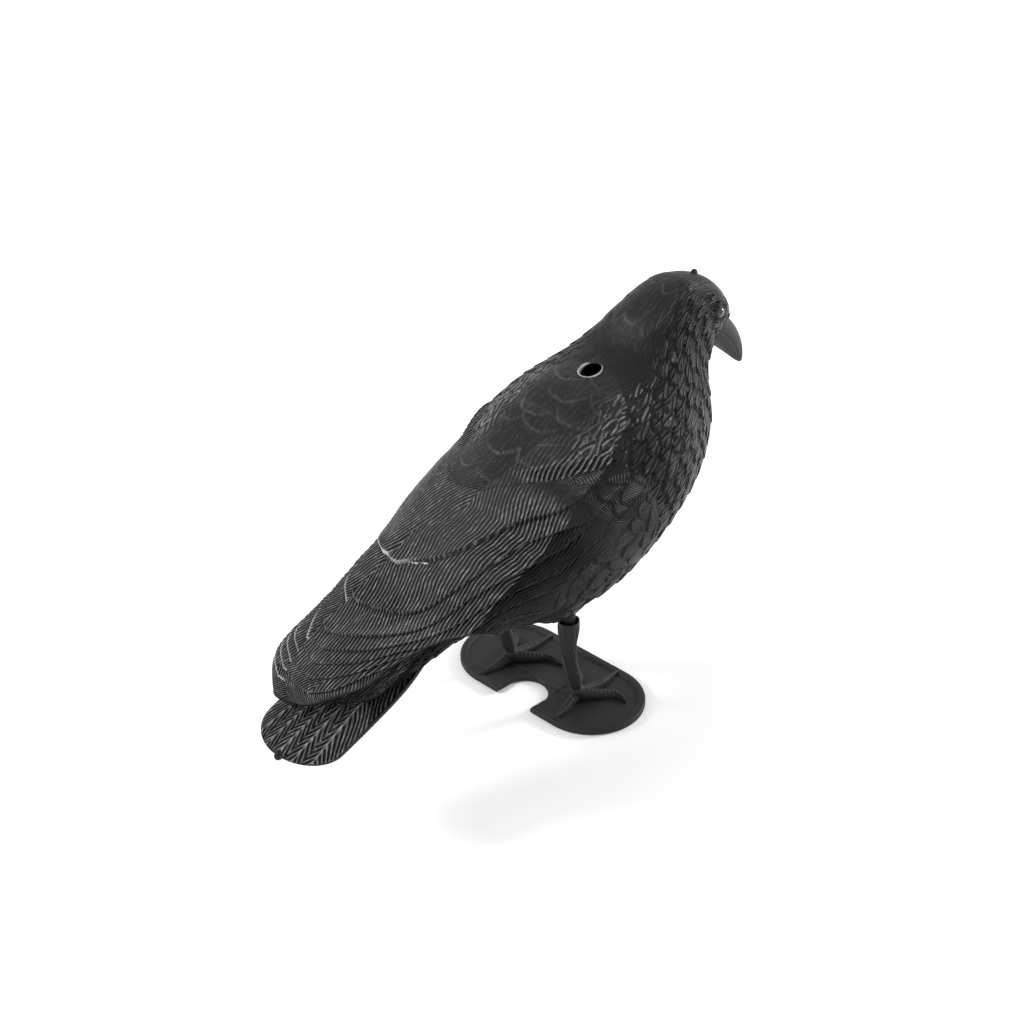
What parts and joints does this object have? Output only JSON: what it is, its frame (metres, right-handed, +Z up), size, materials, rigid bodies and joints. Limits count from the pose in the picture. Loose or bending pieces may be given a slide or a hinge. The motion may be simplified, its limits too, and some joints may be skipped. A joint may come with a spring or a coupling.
{
  "type": "crow decoy",
  "caption": "Hollow moulded crow decoy with folded wings, fanned tail and a hole in its back, standing on a notched plate by two legs with open cuffs",
  "frame": {"origin": "the middle of the stand plate's straight long sides, on the ground", "axes": "+X the way the bird faces, +Y its left, +Z up"},
  "size_m": [0.3882, 0.1316, 0.2386],
  "materials": {
    "bird_plastic": "satin black, moulded feather relief",
    "stand_plastic": "matt black, smooth"
  },
  "bodies": {
    "root": {"bird": "bird_plastic", "stand": "stand_plastic"}
  },
  "joints": []
}
